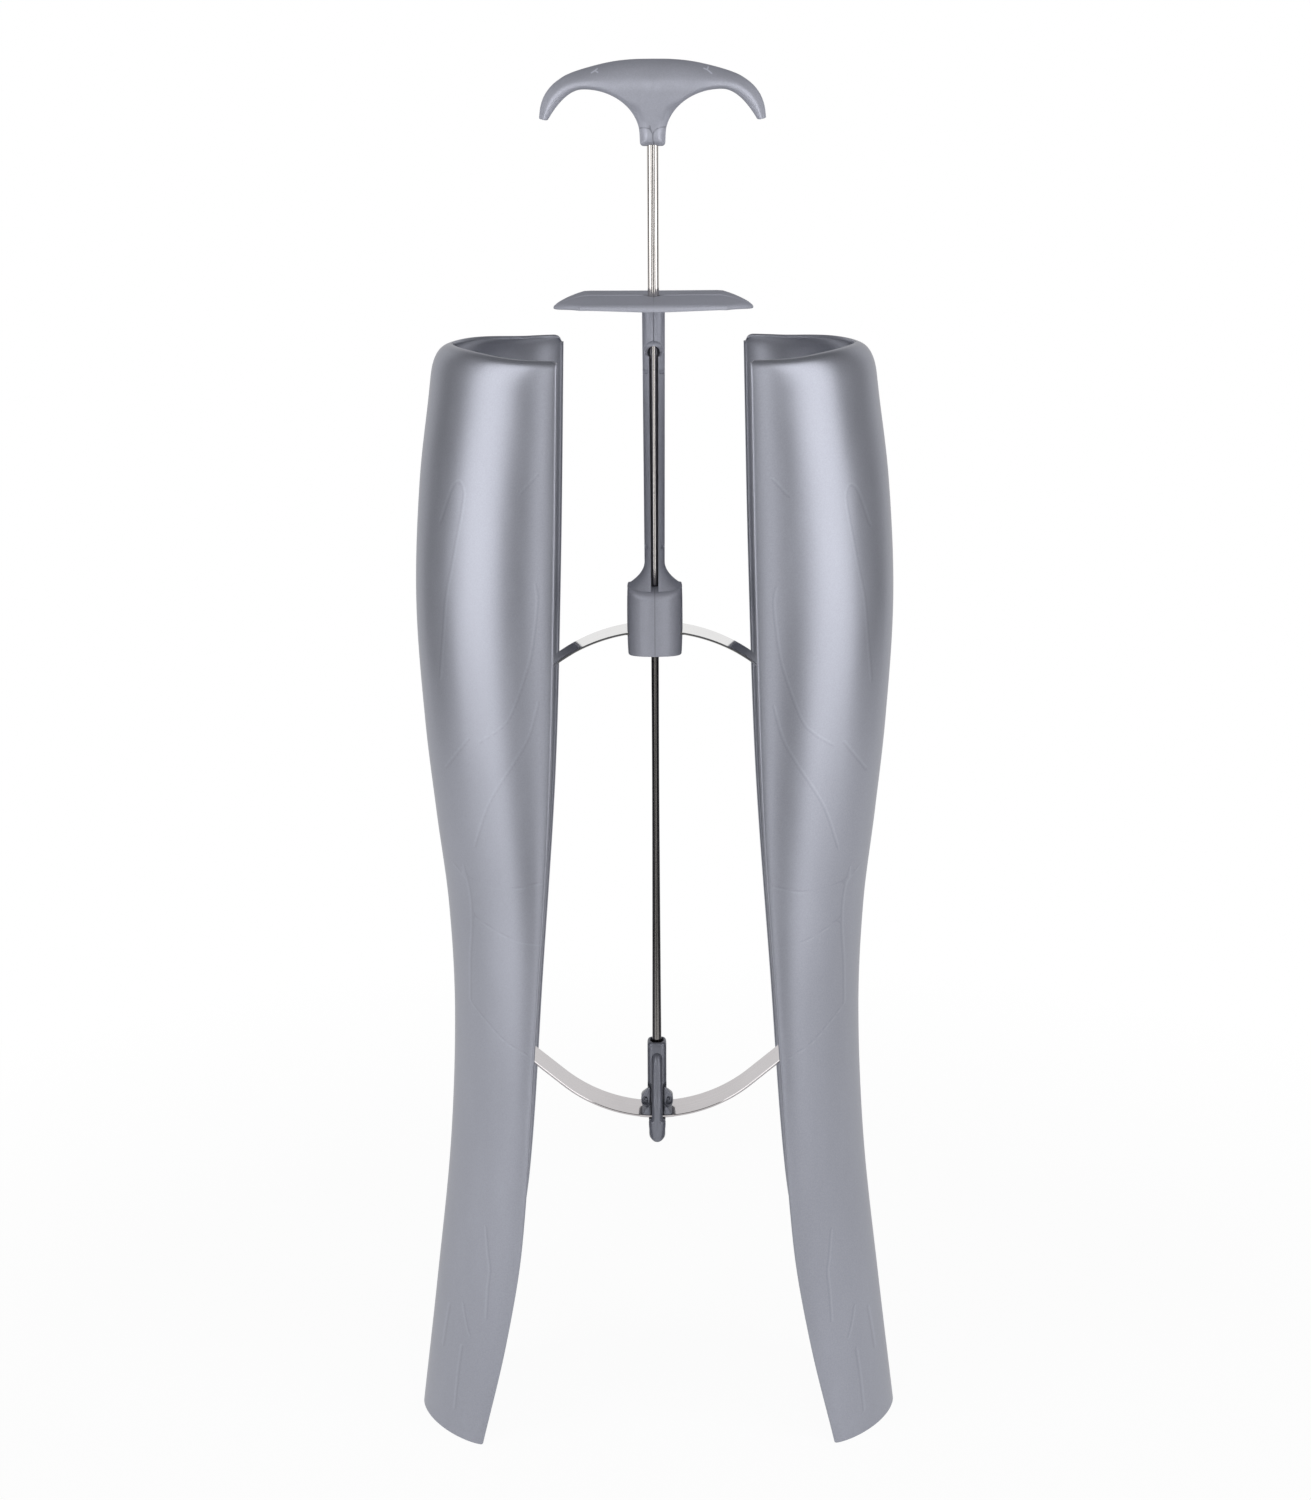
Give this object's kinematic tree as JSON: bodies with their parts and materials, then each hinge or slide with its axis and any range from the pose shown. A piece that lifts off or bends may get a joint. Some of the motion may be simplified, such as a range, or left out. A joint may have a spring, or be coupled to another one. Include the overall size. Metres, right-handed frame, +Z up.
{
  "type": "boot shaper",
  "caption": "Boot shaper whose sprung half shells fill a boot shaft and draw together when the finger plate is pulled up to the handle.",
  "frame": {"origin": "on the rod's axis, at the level of the shells' feet, which is the bottom centre of the box", "axes": "+Z up along the rod, +X across from shell to shell, -Y towards the viewer and the open mouth of the guide tube"},
  "size_m": [0.1824, 0.0752, 0.5063],
  "materials": {
    "shell_plastic": "satin silver-grey moulded polystyrene",
    "grip_plastic": "satin dark silver-grey moulded ABS",
    "clip_plastic": "satin dark grey moulded nylon",
    "rod_steel": "bright nickel-plated drawn wire",
    "spring_steel": "bright rolled spring strip",
    "pin_steel": "cut steel wire"
  },
  "bodies": {
    "rod_set": {"handle": "grip_plastic", "rod": "rod_steel", "clip": "clip_plastic", "clip_pin": "pin_steel", "lower_spring_middle": "spring_steel"},
    "slider": {"slider": "grip_plastic", "upper_spring_middle": "spring_steel"},
    "upper_spring_left": {"upper_spring_left": "spring_steel"},
    "upper_spring_right": {"upper_spring_right": "spring_steel"},
    "lower_spring_left": {"lower_spring_left": "spring_steel"},
    "lower_spring_right": {"lower_spring_right": "spring_steel"},
    "shell_left": {"shell_left": "shell_plastic", "hinge_pins_left": "pin_steel"},
    "shell_right": {"shell_right": "shell_plastic", "hinge_pins_right": "pin_steel"}
  },
  "joints": [
    {"name": "squeeze", "type": "slide", "parent": "rod_set", "child": "slider", "axis": [0, 0, 1], "range_m": [0, 0.045], "stiffness_N_per_m": 800},
    {"name": "shell_left_draw", "type": "slide", "parent": "rod_set", "child": "shell_left", "axis": [0.7388, 0, 0.6739], "range_m": [0, 0.0323]},
    {"name": "shell_right_draw", "type": "slide", "parent": "rod_set", "child": "shell_right", "axis": [-0.7388, 0, 0.6739], "range_m": [0, 0.0323]},
    {"name": "upper_left_bend", "type": "hinge", "parent": "slider", "child": "upper_spring_left", "pos_m": [-0.01015, 0, 0.30726], "axis": [0, -1, 0], "range_deg": [0, 24.6], "deforming": ["upper_spring_left"]},
    {"name": "upper_right_bend", "type": "hinge", "parent": "slider", "child": "upper_spring_right", "pos_m": [0.01015, 0, 0.30726], "axis": [0, 1, 0], "range_deg": [0, 24.6], "deforming": ["upper_spring_right"]},
    {"name": "lower_left_bend", "type": "hinge", "parent": "rod_set", "child": "lower_spring_left", "pos_m": [-0.0066, 0, 0.1217], "axis": [0, 1, 0], "range_deg": [0, 25.3], "deforming": ["lower_spring_left"]},
    {"name": "lower_right_bend", "type": "hinge", "parent": "rod_set", "child": "lower_spring_right", "pos_m": [0.0066, 0, 0.1217], "axis": [0, -1, 0], "range_deg": [0, 25.3], "deforming": ["lower_spring_right"]}
  ],
  "couplings": [
    {"joint": "shell_left_draw", "follows": "squeeze", "ratio": 0.7175},
    {"joint": "shell_right_draw", "follows": "squeeze", "ratio": 0.7175},
    {"joint": "upper_left_bend", "follows": "squeeze", "rad_per_m": 9.4932},
    {"joint": "upper_right_bend", "follows": "squeeze", "rad_per_m": 9.4932},
    {"joint": "lower_left_bend", "follows": "squeeze", "rad_per_m": 9.7838},
    {"joint": "lower_right_bend", "follows": "squeeze", "rad_per_m": 9.7838}
  ]
}
